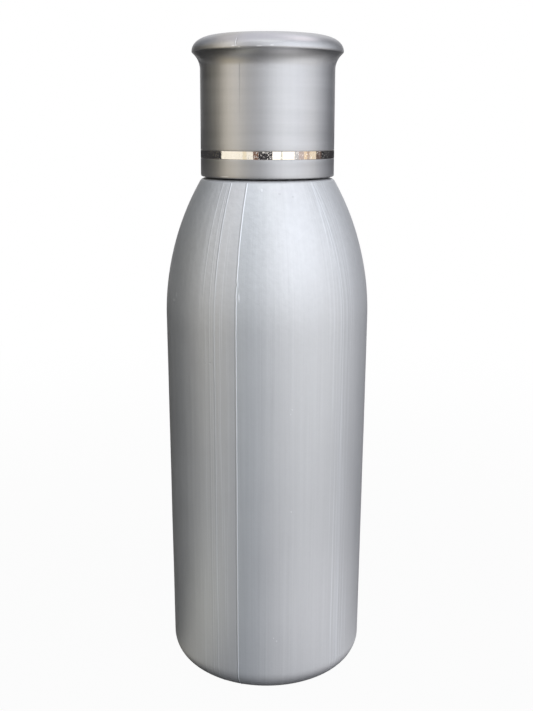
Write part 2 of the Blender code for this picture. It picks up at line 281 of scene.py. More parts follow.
def ringStops(coarse, fineZones=()):
    # azimuths all the way round from the back, closer together in each (from, to, step) zone
    stops = {-180.0, 180.0}
    for low, high, step in fineZones:
        count = round((high - low) / step)
        stops.update(low + (high - low) * i / count for i in range(count + 1))
    for i in range(1, round(360 / coarse)):
        azimuth = i * coarse - 180
        if not any(low - coarse / 2 < azimuth < high + coarse / 2 for low, high, step in fineZones):
            stops.add(azimuth)
    return sorted(stops)


def finished(bm, name, material, body, slot, *nodes):
    # the bmesh becomes a shaded piece that stands for its CAD node
    piece = meshObject(name, bm)
    piece.data.shade_smooth()
    piece.data.set_sharp_from_angle(angle=math.radians(sharpAngle))
    piece.data.materials.append(material)
    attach(piece, body)
    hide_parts(*nodes)
    print("made", name, len(piece.data.polygons), "faces")


def union(bm, others):
    # joins closed meshes with exact Booleans and returns one bmesh
    base = meshObject("base", bm)
    helpers = [meshObject("helper", other) for other in others]
    for helper in helpers:
        join = base.modifiers.new("join", "BOOLEAN")
        join.operation = "UNION"
        join.object = helper
    graph = bpy.context.evaluated_depsgraph_get()
    joined = bmesh.new()
    joined.from_object(base, graph)
    for obj in [base, *helpers]:
        bpy.data.objects.remove(obj)
    return joined


def meshObject(name, bm):
    mesh = bpy.data.meshes.new(name)
    bm.to_mesh(mesh)
    bm.free()
    obj = bpy.data.objects.new(name, mesh)
    bpy.context.scene.collection.objects.link(obj)
    return obj


thread = {
    "pitch": 3.18 * mm, "depth": 1.15 * mm,
    "crestWidth": 0.89 * mm, "rootWidth": 2.04 * mm,
    "sink": 0.4 * mm,
    "stepsPerTurn": 96, "runOutTurns": 0.125,
}


def threadRidge(wallRadius, crestRadius, startHeight, turns):
    # a helix of one trapezoid section that fades into its wall at both ends
    outward = 1 if crestRadius > wallRadius else -1
    root = wallRadius - outward * thread["sink"]
    flank = (thread["rootWidth"] - thread["crestWidth"]) / 2 / thread["depth"]
    halfRoot = thread["rootWidth"] / 2 + thread["sink"] * flank
    halfCrest = thread["crestWidth"] / 2
    bm = bmesh.new()
    section = [(root, -halfRoot), (crestRadius, -halfCrest), (crestRadius, halfCrest), (root, halfRoot)]
    face = bm.faces.new([bm.verts.new((radius, 0, startHeight + z)) for radius, z in section])
    steps = round(turns * thread["stepsPerTurn"])
    bmesh.ops.spin(
        bm, geom=[*face.verts, *face.edges, face], cent=centre, axis=up, steps=steps,
        dvec=(0, 0, thread["pitch"] / thread["stepsPerTurn"]),
        angle=math.tau * steps / thread["stepsPerTurn"],
    )
    runOut = thread["runOutTurns"] * thread["stepsPerTurn"]
    for i, vert in enumerate(bm.verts):
        ring = i // len(section)
        share = min(1, (ring + 1) / runOut, (steps - ring + 1) / runOut)
        radius = math.hypot(vert.co.x, vert.co.y)
        vert.co.xy *= (root + (radius - root) * share) / radius
    bmesh.ops.recalc_face_normals(bm, faces=bm.faces)
    return bm


barEdgeShare = 0.15


def uprightBars(count, width, innerRadius, outerRadius, low, high):
    bm = bmesh.new()
    size = (outerRadius - innerRadius, width, high - low)
    place = ((outerRadius + innerRadius) / 2, 0, (high + low) / 2)
    bar = Matrix.Translation(place) @ Matrix.Diagonal((*size, 1))
    for i in range(count):
        bmesh.ops.create_cube(bm, size=1, matrix=Matrix.Rotation(math.tau * i / count, 4, "Z") @ bar)
    soften(bm, bm.edges, barEdgeShare * width, "EDGES", segments=2)
    return bm


def raised(distance, halfWidth):
    # a soft ridge profile, 1 at its middle
    return 0.5 + 0.5 * math.cos(math.pi * distance / halfWidth) if abs(distance) < halfWidth else 0.0


def ramp(value, low, high):
    # 0 below low, 1 above high and straight between them
    return min(1.0, max(0.0, (value - low) / (high - low)))


def reshape(bm, names, riseOf):
    # moves each vertex along its normal by riseOf, which also fills the named layers
    layers = [bm.verts.layers.float.new(name) for name in names]
    bm.normal_update()
    moves = {}
    for vert in bm.verts:
        outward = Vector((vert.co.x, vert.co.y, 0))
        moves[vert] = vert.normal * riseOf(vert, outward, *layers)
    for vert, move in moves.items():
        vert.co += move


def wobble(height, pitch, seed):
    # an even wander round 0 along the height
    return noise.noise(Vector((seed, 0, height / pitch)))


# The blow-moulded bottle

bottle = {
    "footRadius": 24.5 * mm, "bodyRadius": 25.0 * mm,
    "footCorner": 6.0 * mm, "footRing": 3.4 * mm,
    "pushUpStep": (1.0 * mm, 0.9 * mm), "pushUpDome": 1.5 * mm,
    "wallHeight": 91.4 * mm, "shoulderHeight": 33.8 * mm,
    "deckRadius": 15.85 * mm, "deckCorner": 0.9 * mm,
    "wall": 1.0 * mm,
    "neckRadius": 10.85 * mm, "neckWall": 1.85 * mm, "neckHeight": 17.0 * mm,
    "neckFillet": 0.8 * mm,
    "throatFillet": 3.0 * mm, "lipRound": 0.4 * mm,
    "threadSetback": 2.2 * mm, "threadTurns": 1.5,
    "unevenness": 0.035 * mm, "unevenSize": 16 * mm,
    "rippleShare": 0.4, "ripplesPerWave": 3,
    "flatFoot": 0.2 * mm, "outerFacing": 0.15,
}
bottle["deck"] = bottle["wallHeight"] + bottle["shoulderHeight"]
bottle["lip"] = bottle["deck"] + bottle["neckHeight"]
threadStart = bottle["lip"] - bottle["threadSetback"] - bottle["threadTurns"] * thread["pitch"]

# Lines that the mould left down the wall, in degrees and millimetres: azimuth, how far the line
# swings at the deck, half width, height, how strong the painted highlight on its ridge and the painted
# shade in its groove are, and where it starts.
mouldLines = [
    (-16.4, 0.0, 0.19, 0.075, 1.0, 0.55, 0),
    (-28.9, -1.4, 0.20, 0.045, 0.50, 0.25, 0),
    (-28.9, -1.4, 0.20, 0.020, 0.85, 0.40, 92),
    (-36.6, -1.6, 0.20, 0.024, 0.42, 0.12, 94),
    (-30.6, -1.4, 0.18, 0.012, 0.14, 0.05, 0),
    (-32.0, -1.6, 0.20, 0.024, 0.26, 0.15, 0),
    (41.0, -5.5, 0.20, 0.010, 0.12, 0.04, 0),
    (43.4, -6.0, 0.20, 0.014, 0.20, 0.06, 0),
    (45.6, -7.0, 0.24, 0.022, 0.32, 0.12, 0),
    (48.2, -7.0, 0.22, 0.014, 0.18, 0.08, 0),
    (51.0, -7.5, 0.22, 0.012, 0.14, 0.10, 0),
    (163.6, 0.0, 0.24, 0.090, 0.9, 0.45, 0),
    (118.0, -2.0, 0.22, 0.020, 0.20, 0.10, 0),
    (-121.0, 2.0, 0.22, 0.024, 0.25, 0.12, 0),
]
# the wall's facets are finer round them: from, to and step
lineZones = [
    (-18.4, -14.6, 0.1),
    (-39.4, -26.9, 0.22),
    (33.5, 52.5, 0.25),
    (161.6, 165.0, 0.12),
    (114.5, 119.0, 0.25),
    (-122.5, -118.0, 0.25),
]
# the groove on a line's left, in shares of its ridge
grooveAside = 1.7
grooveWidth = 0.9
grooveDepth = 0.3
lineFadeIn = 12 * mm
# the front parting line, the first one, splits round a small loop, with a hook above it
partingNick = {
    "height": 99.8 * mm, "reach": 1.4 * mm, "spread": 0.42 * mm,
    "wander": 0.07 * mm, "wanderPitch": 3.2 * mm,
    "hookHeight": 102.6 * mm, "hookReach": 0.7 * mm, "hookSwing": 0.22 * mm,
}
nickLeft = 0.2
nickRight = 1.7
# the plastic looks a little darker and cooler just past the parting line: painted shade, partly a real
# change in the plastic's flow
coolFlowAndShade = {"azimuth": -16.4, "fade": 26.0}


def foot(path, inset, inward):
    # the rounded heel, the flat ring and the push-up, drawn towards the axis or away from it
    corner = bottle["footRadius"] - bottle["footCorner"]
    stepRadius = corner - bottle["footRing"]
    domeRadius = stepRadius - bottle["pushUpStep"][0]
    stepHeight = bottle["pushUpStep"][1] + inset
    domeHeight = bottle["pushUpDome"]
    sphere = (domeRadius ** 2 + domeHeight ** 2) / (2 * domeHeight)
    turn = math.degrees(math.asin(domeRadius / sphere))
    top = stepHeight + domeHeight
    if inward:
        path.arc(corner, bottle["footCorner"], -90, steps=16)
        path.line(stepRadius, inset).line(domeRadius, stepHeight)
        path.arc(0, top - sphere, turn, steps=8)
    else:
        path.arc(0, top - sphere, -turn, steps=8)
        path.line(stepRadius, inset).line(corner, inset)
        path.arc(corner, bottle["footCorner"], 90, steps=8)


def shoulderShape():
    # centre, radius and lean of the one arc that is tangent to the wall and ends at the deck's edge
    lean = math.atan2(
        bottle["bodyRadius"] - bottle["footRadius"], bottle["wallHeight"] - bottle["footCorner"]
    )
    inward = (-math.cos(lean), math.sin(lean))
    chord = (bottle["deckRadius"] - bottle["bodyRadius"], bottle["shoulderHeight"])
    radius = (chord[0] ** 2 + chord[1] ** 2) / (2 * (chord[0] * inward[0] + chord[1] * inward[1]))
    middle = (bottle["bodyRadius"] + radius * inward[0], bottle["wallHeight"] + radius * inward[1])
    return middle, radius, lean


def bottlePath():
    middle, radius, lean = shoulderShape()
    wall = bottle["wall"]
    deck = bottle["deck"]
    bore = bottle["neckRadius"] - bottle["neckWall"]
    path = Path(0, wall + bottle["pushUpStep"][1] + bottle["pushUpDome"])
    foot(path, wall, inward=False)
    innerRadius = radius - wall
    innerTop = math.asin((deck - wall - middle[1]) / innerRadius)
    path.line(
        middle[0] + innerRadius * math.cos(-lean),
        middle[1] + innerRadius * math.sin(-lean),
        cuts=6,
    )
    path.arc(*middle, math.degrees(innerTop + lean), steps=14)
    outerTop = math.asin((deck - middle[1]) / radius)
    path.through(
        (bore, deck - wall, bottle["throatFillet"]),
        (bore, bottle["lip"], bottle["lipRound"]),
        (bottle["neckRadius"], bottle["lip"], bottle["lipRound"]),
        (bottle["neckRadius"], deck, bottle["neckFillet"]),
        (middle[0] + radius * math.cos(outerTop), deck, bottle["deckCorner"]),
    )
    path.arc(*middle, -math.degrees(outerTop + lean), steps=44)
    path.line(bottle["footRadius"], bottle["footCorner"], cuts=46)
    foot(path, 0, inward=True)
    return path


def lineProfile(line, azimuth, radius, height):
    # how far a point is up the line's ridge, and into the groove on its left
    middle, lean = line[:2]
    halfWidth, above = line[2] * mm, line[-1] * mm
    swing = max(0.0, (height - bottle["wallHeight"]) / bottle["shoulderHeight"]) ** 3
    distance = math.radians(azimuth - middle - lean * swing) * radius
    spread = 0.0
    if line is mouldLines[0]:
        nick = partingNick
        spread = nick["spread"] * raised(height - nick["height"], nick["reach"])
        distance -= nick["hookSwing"] * raised(height - nick["hookHeight"], nick["hookReach"])
        distance += nick["wander"] * wobble(height, nick["wanderPitch"], seed=7)
    left = distance + nickLeft * spread
    ridge = max(raised(left, halfWidth), raised(distance - nickRight * spread, halfWidth))
    groove = raised(left + grooveAside * halfWidth, grooveWidth * halfWidth)
    if above:
        share = ramp(height, above, above + lineFadeIn)
        return ridge * share, groove * share
    return ridge, groove


def wallRise(vert, outward, shine, shade, cool):
    # the mould lines, on a wall that is a little uneven
    radius, level = outward.length, vert.co.z
    facesOut = vert.normal.dot(outward) > bottle["outerFacing"] * radius
    isOuter = facesOut or level < bottle["wall"] / 2
    isNeck = radius < bottle["neckRadius"] or level > bottle["deck"] - bottle["deckCorner"] / 2
    if isNeck or not isOuter:
        return 0.0
    azimuth = azimuthOf(vert.co)
    rise = 0.0
    for line in mouldLines:
        height, shineShare, shadeShare = line[3:6]
        ridge, groove = lineProfile(line, azimuth, radius, level)
        rise += (ridge - grooveDepth * groove) * height * mm
        # painted highlight along the ridge and painted shade in the groove beside it
        vert[shine] = max(vert[shine], ridge * shineShare)
        vert[shade] = max(vert[shade], groove * shadeShare)
    # a cool painted shade past the parting line, partly a real change in the plastic's flow
    if azimuth > coolFlowAndShade["azimuth"]:
        vert[cool] = raised(azimuth - coolFlowAndShade["azimuth"], coolFlowAndShade["fade"])
    if level > bottle["footCorner"] / 2:
        point = vert.co / bottle["unevenSize"]
        wave = noise.noise(point) + bottle["rippleShare"] * noise.noise(point * bottle["ripplesPerWave"])
        rise += bottle["unevenness"] * wave
    return rise if level > bottle["flatFoot"] else 0.0


silverBody = {
    "base": (0.55, 0.552, 0.546), "coolTint": (0.974, 0.999, 1.015),
    "metallic": 0.42, "roughness": 0.41,
    "paintedHighlightColour": (0.82, 0.84, 0.86), "paintedShadeColour": (0.20, 0.21, 0.22),
    "lineHighlightTone": 0.85, "grooveShadeTone": 0.9,
    "cloudSize": 14 * mm, "cloudTone": 0.14, "cloudRoughness": 0.10,
    "flowWidth": 1.1 * mm, "flowLength": 60 * mm, "flowTone": 0.22, "flowRoughness": 0.10,
    "flowRelief": 0.030,
    "fineWidth": 0.36 * mm, "fineLength": 40 * mm, "fineTone": 0.18, "fineRelief": 0.010,
    "pearlSize": 0.5 * mm, "pearlTone": 0.10,
    "peelSize": 1.3 * mm, "peelTone": 0.08, "peelRelief": 0.012,
    "shoulderShare": 0.8, "shoulderTone": 0.34, "shoulderRelief": 0.060,
    "gatherAzimuths": (-31.0, 45.5), "gatherFade": (12, 4),
    "hairlineRange": (0.56, 0.68), "hairlineHighlightTone": 0.22, "hairlineRelief": 0.012,
    "markTone": 0.35, "markRelief": 0.03,
    "raisedMarkHighlight": 0.85,
    "sunkenMarkShade": 0.38,
}
# the share of a small mark's size that is full, before it fades
markCore = 0.35
# small marks on the front: azimuth, height, size across and along, and whether it stands out or in
# a mark that stands out is lightened with a painted highlight, one that sinks in is darkened with
# painted shade
bodyMarks = [
    (13.5, 73.7, 0.30, 0.26, 1),
    (12.7, 72.6, 0.18, 0.28, 1),
    (-31.8, 84.1, 0.35, 0.25, -1),
    (-35.0, 83.8, 0.25, 0.20, -1),
    (-63.3, 97.0, 1.1, 0.45, 1),
    (-60.5, 98.4, 0.5, 0.9, 1),
    (5.7, 14.8, 0.30, 0.30, 1),
    (4.0, 15.6, 0.25, 0.30, 1),
    (13.5, 48.5, 0.30, 0.30, 1),
    (19.0, 121.8, 0.35, 0.3, -1),
    (9.0, 122.4, 0.45, 0.35, -1),
    (-4.5, 123.2, 0.35, 0.7, 1),
]


def wallRadius(height):
    middle, radius, lean = shoulderShape()
    if height > bottle["wallHeight"]:
        return middle[0] + math.sqrt(radius ** 2 - (height - middle[1]) ** 2)
    share = (height - bottle["footCorner"]) / (bottle["wallHeight"] - bottle["footCorner"])
    return bottle["footRadius"] + (bottle["bodyRadius"] - bottle["footRadius"]) * share


def bodyFinish():
    look = silverBody
    finish = Finish("pearl silver body")
    cloud = finish.grain(look["cloudSize"], 3)
    flow = finish.streaks(bottle["bodyRadius"], look["flowWidth"], look["flowLength"])
    fineFlow = finish.streaks(bottle["bodyRadius"], look["fineWidth"], look["fineLength"], 1)
    pearl = finish.grain(look["pearlSize"])
    peel = finish.grain(look["peelSize"], 3)
    outward, z = finish.around()
    onShoulder = finish.smooth(z, look["shoulderShare"] * bottle["wallHeight"], bottle["deck"])
    tone = weighed(look, "Tone", cloud=cloud, flow=flow, fine=fineFlow, pearl=pearl)
    tone = tone + (peel - 0.5) * (onShoulder * look["shoulderTone"] + look["peelTone"])
    colour = toned(finish, tone, look["base"])
    # the cool painted shade past the parting line, partly the plastic's own flow tone
    coolColour = toned(finish, tone, look["base"], low=0.79, high=1.19, tint=look["coolTint"])
    colour = finish.blend(finish.attribute("coolFlowAndShade"), colour, coolColour)
    # bright hairlines where the flow gathers beside the mould lines: a painted highlight, besides their
    # small bump
    far, near = [math.cos(math.radians(away)) for away in look["gatherFade"]]
    gathers = []
    for azimuth in look["gatherAzimuths"]:
        facing = finish.vectorMaths("DOT_PRODUCT", outward, polar(azimuth, 1, 0), "Value")
        gathers.append(finish.smooth(facing, far, near))
    hairlines = finish.smooth(fineFlow, *look["hairlineRange"]) * sum(gathers)
    paintedHighlightColour = tinted(look["paintedHighlightColour"])
    paintedShadeColour = tinted(look["paintedShadeColour"])
    colour = finish.blend(hairlines * look["hairlineHighlightTone"], colour, paintedHighlightColour)
    # painted shade in each mould line's groove, then a painted highlight along its ridge
    colour = finish.blend(finish.attribute("paintedGrooveShade") * look["grooveShadeTone"], colour, paintedShadeColour)
    colour = finish.blend(finish.attribute("paintedLineHighlight") * look["lineHighlightTone"], colour, paintedHighlightColour)
    marks = []
    # each mark's colour is painted light: lighter where it stands out, darker where it sinks in
    for azimuth, height, across, along, sign in bodyMarks:
        spot = finish.spot(azimuth, height * mm, wallRadius(height * mm), across * mm, along * mm)
        paintedMarkGrey = look["raisedMarkHighlight"] if sign > 0 else look["sunkenMarkShade"]
        colour = finish.blend(spot * look["markTone"], colour, grey(paintedMarkGrey))
        marks.append(spot * sign)
    height = peel * (onShoulder * look["shoulderRelief"] + look["peelRelief"])
    height = height + flow * look["flowRelief"] + fineFlow * look["fineRelief"]
    height = height + hairlines * look["hairlineRelief"] + sum(marks) * look["markRelief"]
    return finish.set(
        Base_Color=colour,
        Metallic=look["metallic"],
        Roughness=weighed(look, "Roughness", cloud=cloud, flow=flow) + look["roughness"],
        Normal=finish.bump(height),
    )


def makeBottle():
    body = bottlePath().turned(ringStops(2.5, lineZones))
    reshape(body, ["paintedLineHighlight", "paintedGrooveShade", "coolFlowAndShade"], wallRise)
    ridge = threadRidge(
        bottle["neckRadius"],
        bottle["neckRadius"] + thread["depth"],
        threadStart,
        bottle["threadTurns"],
    )
    body = union(body, [ridge])
    finished(body, "bottleShell", bodyFinish(), "bottle", "bottle_plastic", "bottle")


makeBottle()


# The plug that is pressed into the neck, with its dripper

seatGap = 0.3 * mm
plug = {
    "flange": 0.9 * mm,
    "wall": 0.8 * mm, "depth": 7.2 * mm,
    "floor": 1.0 * mm,
    "beadHeight": 0.9 * mm, "beadProud": 0.2 * mm,
    "taper": 0.6 * mm,
    "hole": 1.8 * mm,
    "dripperWall": 0.9 * mm,
    "tipDrop": 2.2 * mm,
    "soft": 0.15 * mm,
}
plug["low"] = bottle["lip"] + seatGap
plug["top"] = plug["low"] + plug["flange"]

plugLook = {
    "dark": (0.80, 0.82, 0.80), "light": (0.90, 0.91, 0.90),
    "cloudSize": 3 * mm,
    "skinSize": 0.25 * mm, "skinRelief": 0.006,
    "roughness": 0.34,
    "glow": 0.25, "glowDepth": 0.6 * mm,
}


def plugFinish():
    finish = plainFinish("natural plug plastic", plugLook)
    return finish.set(Subsurface_Weight=plugLook["glow"], Subsurface_Scale=plugLook["glowDepth"])


def makePlug():
    top, low = plug["top"], plug["low"]
    bead = bottle["neckRadius"] - bottle["neckWall"] - seatGap
    skirt = bead - plug["beadProud"]
    cup = skirt - plug["wall"]
    flange = bottle["neckRadius"] - bottle["lipRound"]
    tip = low - plug["depth"]
    floorTop = tip + plug["floor"]
    beadMiddle = (low + tip) / 2
    dripper = plug["hole"] + plug["dripperWall"]
    dripperTop = top - plug["tipDrop"]
    soft = plug["soft"]
    path = Path(cup, top - soft).through(
        (cup + soft, top),
        (flange, top, soft),
        (flange, low, soft),
        (skirt, low),
        (skirt, beadMiddle + plug["beadHeight"] / 2),
        (bead, beadMiddle, soft),
        (skirt, beadMiddle - plug["beadHeight"] / 2),
        (skirt, tip + plug["taper"]),
        (skirt - plug["taper"], tip),
        (plug["hole"], tip),
        (plug["hole"], dripperTop, soft),
        (dripper, dripperTop, soft),
        (dripper, floorTop, 2 * soft),
        (cup, floorTop, 2 * soft),
    )
    body = path.close().turned(ringStops(coarse=5))
    finished(body, "neckPlug", plugFinish(), "bottle", "plug_plastic", "neck_plug")


makePlug()


# The foam wad that seals the plug

wad = {"thickness": 1.2 * mm, "edgeGap": 0.45 * mm, "soft": 0.2 * mm}
wad["low"] = plug["top"] + seatGap
wad["top"] = wad["low"] + wad["thickness"]
threadClearance = 0.35 * mm
innerBore = bottle["neckRadius"] + thread["depth"] + threadClearance

foamLook = {
    "dark": (0.78, 0.78, 0.75), "light": (0.90, 0.90, 0.88),
    "cloudSize": 4 * mm, "cloudTone": 0.6,
    "cellSize": 0.35 * mm, "cellTone": 0.4, "cellRoughness": 0.2, "cellRelief": 0.05,
    "roughness": 0.70,
}


def wadFinish():
    look = foamLook
    finish = Finish("wad foam")
    inputs = {"Vector": finish.place, "Scale": 1 / look["cellSize"]}
    cells = finish.node("ShaderNodeTexVoronoi", {}, inputs, "Distance")
    tone = finish.grain(look["cloudSize"]) * look["cloudTone"] + cells * look["cellTone"]
    return finish.set(
        Base_Color=finish.blend(tone, tinted(look["dark"]), tinted(look["light"])),
        Roughness=look["roughness"] + cells * look["cellRoughness"],
        Normal=finish.bump(cells * look["cellRelief"]),
    )


def makeWad():
    radius = innerBore - wad["edgeGap"]
    path = Path(0, wad["top"]).through(
        (radius, wad["top"], wad["soft"]), (radius, wad["low"], wad["soft"]), (0, wad["low"])
    )
    body = path.turned(ringStops(coarse=5))
    finished(body, "sealingWad", wadFinish(), "liner", "wad_foam", "sealing_wad")


makeWad()


# The threaded inner cap

innerCap = {
    "wall": 1.2 * mm, "topThickness": 1.4 * mm, "recess": 0.4 * mm,
    "corner": 0.7 * mm,
    "beadHeight": 0.6 * mm, "beadDepth": 0.75 * mm,
    "knurls": 12,
    "knurlWidth": 1.2 * mm, "knurlDepth": 0.75 * mm, "knurlSetback": 1.2 * mm,
    "threadTurns": 1.25, "threadLead": 0.5,
    "soft": 0.2 * mm,
}
mouthGap = 0.4 * mm
capMouth = bottle["deck"] + mouthGap
innerCap["mouth"] = capMouth + innerCap["recess"]
innerCap["ceiling"] = wad["top"] + seatGap
innerCap["top"] = innerCap["ceiling"] + innerCap["topThickness"]
innerCap["radius"] = innerBore + innerCap["wall"]

innerCapLook = {
    "dark": (0.74, 0.74, 0.73), "light": (0.85, 0.85, 0.84),
    "cloudSize": 5 * mm,
    "skinSize": 0.3 * mm, "skinRelief": 0.008,
    "roughness": 0.32,
}


def makeInnerCap():
    beadTop = wad["low"] - seatGap
    beadMiddle = beadTop - innerCap["beadHeight"] / 2
    soft = innerCap["soft"]
    outer = innerCap["radius"]
    path = Path(0, innerCap["top"]).through(
        (outer, innerCap["top"], innerCap["corner"]),
        (outer, innerCap["mouth"], soft),
        (innerBore, innerCap["mouth"], soft),
        (innerBore, beadTop - innerCap["beadHeight"]),
        (innerBore - innerCap["beadDepth"], beadMiddle, soft),
        (innerBore, beadTop),
        (innerBore, innerCap["ceiling"]),
        (0, innerCap["ceiling"]),
    )
    ridge = threadRidge(
        innerBore,
        innerBore - thread["depth"],
        threadStart - innerCap["threadLead"] * thread["pitch"],
        innerCap["threadTurns"],
    )
    knurl = uprightBars(
        innerCap["knurls"],
        innerCap["knurlWidth"],
        outer - thread["sink"],
        outer + innerCap["knurlDepth"],
        innerCap["mouth"] + innerCap["knurlSetback"],
        innerCap["top"] - innerCap["knurlSetback"],
    )
    body = union(path.turned(ringStops(coarse=3.75)), [ridge, knurl])
    plastic = plainFinish("inner cap white", innerCapLook).material
    finished(body, "innerCap", plastic, "cap", "inner_cap_plastic", "inner_cap")


makeInnerCap()


# The flared outer cap

outerCap = {
    "wall": 1.45 * mm, "topThickness": 1.6 * mm,
    "flatRadius": 11.1 * mm,
    "rollHeight": 3.85 * mm, "rollPower": 2.28,
    "overhang": 1.85 * mm, "flareHeight": 3.85 * mm,
    "draft": 0.08 * mm,
    "rimEdge": 0.25 * mm,
    "mouthCorner": 0.3 * mm,
    "ceilingFillet": 1.2 * mm,
    "ribs": 8,
    "ribWidth": 1.2 * mm, "ribDepth": 3.6 * mm, "ribHeight": 9.4 * mm,
    "unevenness": 0.012 * mm, "unevenSize": 9 * mm,
    "outerFacing": 0.5,
    "rollCuts": 28,
}
band = {
    "offset": 4.3 * mm, "height": 1.9 * mm,
    "thickness": 0.3 * mm, "crown": 0.01 * mm,
    "soft": 0.06 * mm,
    "hairGap": 0.04 * mm,
    "grooveEdge": 0.05 * mm,
}
band["low"] = capMouth + band["offset"]
band["high"] = band["low"] + band["height"]
outerCap["bore"] = innerCap["radius"] + innerCap["knurlDepth"] + seatGap
outerCap["skirt"] = outerCap["bore"] + outerCap["wall"]
outerCap["ceiling"] = innerCap["top"] + seatGap + outerCap["ribHeight"]
outerCap["top"] = outerCap["ceiling"] + outerCap["topThickness"]
outerCap["rim"] = outerCap["top"] - outerCap["rollHeight"]
outerCap["flare"] = outerCap["rim"] - outerCap["flareHeight"]

# the seam: a groove with a ridge at its left down the skirt, and a bright burr over the rim;
# the groove is darkened with painted shade, and the ridge and the burr are lightened with a painted
# highlight
capSeam = {
    "azimuth": -22.9, "halfWidth": 0.16 * mm, "asideShare": 1.4, "depth": 0.035 * mm,
    "fadeFrom": 136 * mm, "fade": 1 * mm,
    "rimNotch": 0.06 * mm, "rimLip": 0.10 * mm, "wander": 0.10 * mm, "wanderPitch": 0.9 * mm,
    "lipLow": 154.1 * mm, "lipHigh": 156.4 * mm, "lipFadeIn": 0.4 * mm, "lipFadeOut": 0.8 * mm,
    "lipLevel": 0.75, "lipSwing": 1.2,
    "skirtDark": 0.5, "lipDark": 0.5, "rimDark": 0.10,
    "skirtShine": 0.16,
    "shineLevel": 0.3, "shineSwing": 1.6, "shinePitch": 2.7 * mm,
}
# the plastic is a little warmer round this azimuth: painted warm light, partly a warmer tone of the
# plastic itself
warmFlowAndLight = {"azimuth": -35.0, "fade": 24.0}


def skirtRadius(height):
    share = (height - capMouth) / (outerCap["flare"] - capMouth)
    return outerCap["skirt"] - outerCap["draft"] * share


def outerCapPath():
    cap = outerCap
    edge = band["grooveEdge"]
    low = band["low"] - band["hairGap"]
    high = band["high"] + band["hairGap"]
    depth = band["thickness"] + seatGap
    rimRadius = cap["skirt"] + cap["overhang"]
    flareRadius = skirtRadius(cap["flare"])
    reach = rimRadius - cap["flatRadius"]
    path = Path(0, cap["top"]).line(cap["flatRadius"], cap["top"], cuts=3)
    power = 2 / cap["rollPower"]
    for i in range(1, cap["rollCuts"] + 1):
        angle = math.pi / 2 * (1 - i / cap["rollCuts"])
        path.line(
            cap["flatRadius"] + reach * math.cos(angle) ** power,
            cap["rim"] + cap["rollHeight"] * max(0, math.sin(angle)) ** power,
        )
    path.round(cap["rimEdge"])
    overhang = rimRadius - flareRadius
    sweep = (cap["flareHeight"] ** 2 + overhang ** 2) / (2 * overhang)
    turn = math.degrees(math.asin(cap["flareHeight"] / sweep))
    path.arc(flareRadius + sweep, cap["flare"], turn, steps=16)
    path.line(skirtRadius(high), high, cuts=24).round(edge)
    path.through(
        (skirtRadius(high) - depth, high), (skirtRadius(low) - depth, low), (skirtRadius(low), low, edge)
    )
    path.line(cap["skirt"], capMouth, cuts=5).round(cap["mouthCorner"])
    path.line(cap["bore"], capMouth).round(cap["mouthCorner"])
    path.line(cap["bore"], cap["ceiling"], cuts=3).round(cap["ceilingFillet"])
    path.line(0, cap["ceiling"])
    return path


def isOnShell(vert, outward):
    # leaves out the inside of the shell
    cap = outerCap
    height, radius = vert.co.z, outward.length
    isTop = height > cap["ceiling"] + cap["topThickness"] / 2 and radius > cap["flatRadius"]
    isSkirt = vert.normal.dot(outward) > cap["outerFacing"] * radius
    return isTop or radius >= cap["bore"] and (isSkirt or height > cap["flare"])


def seamShares(height, radius):
    # how strong the seam is on the skirt, over the rim and on the burr
    cap, seam = outerCap, capSeam
    onSkirt = ramp(height, seam["fadeFrom"], cap["flare"])
    onSkirt *= 1 - ramp(height, cap["flare"], cap["flare"] + seam["fade"])
    onRim = ramp(height, cap["rim"], cap["rim"] + seam["fade"])
    onRim *= ramp(radius, cap["flatRadius"], cap["flatRadius"] + 2 * seam["fade"])
    onLip = ramp(height, seam["lipLow"], seam["lipLow"] + seam["lipFadeIn"])
    onLip *= 1 - ramp(height, seam["lipHigh"] - seam["lipFadeOut"], seam["lipHigh"])
    swing = wobble(height, seam["wanderPitch"], seed=5)
    onLip *= min(1.0, seam["lipLevel"] + seam["lipSwing"] * swing)
    return onSkirt, onRim, onLip


def capRise(vert, outward, dark, lip, warm):
    # the seam's fine groove down the skirt and its notch over the rim
    if not isOnShell(vert, outward):
        return 0.0
    seam = capSeam
    height, radius = vert.co.z, outward.length
    azimuth = azimuthOf(vert.co)
    # painted warm light round the warm azimuth, partly the plastic's own warmer tone
    vert[warm] = raised(azimuth - warmFlowAndLight["azimuth"], warmFlowAndLight["fade"])
    distance = math.radians(azimuth - seam["azimuth"]) * radius
    distance += seam["wander"] * wobble(height, seam["wanderPitch"], seed=0)
    groove = raised(distance, seam["halfWidth"])
    ridge = raised(distance + seam["asideShare"] * seam["halfWidth"], seam["halfWidth"])
    onSkirt, onRim, onLip = seamShares(height, radius)
    swing = wobble(height, seam["shinePitch"], seed=9)
    broken = max(0.0, seam["shineLevel"] + seam["shineSwing"] * swing)
    # painted shade in the seam's groove, and a painted highlight on its ridge and burr
    darkness = seam["skirtDark"] * onSkirt * (1 - onRim)
    darkness += seam["lipDark"] * onRim * onLip + seam["rimDark"] * onRim
    vert[dark] = groove * darkness
    vert[lip] = ridge * (onLip + seam["skirtShine"] * onSkirt * broken)
    rise = ridge * seam["rimLip"] * onLip
    rise -= groove * (seam["depth"] * onSkirt + seam["rimNotch"] * onRim * onLip)
    return rise + outerCap["unevenness"] * noise.noise(vert.co / outerCap["unevenSize"])


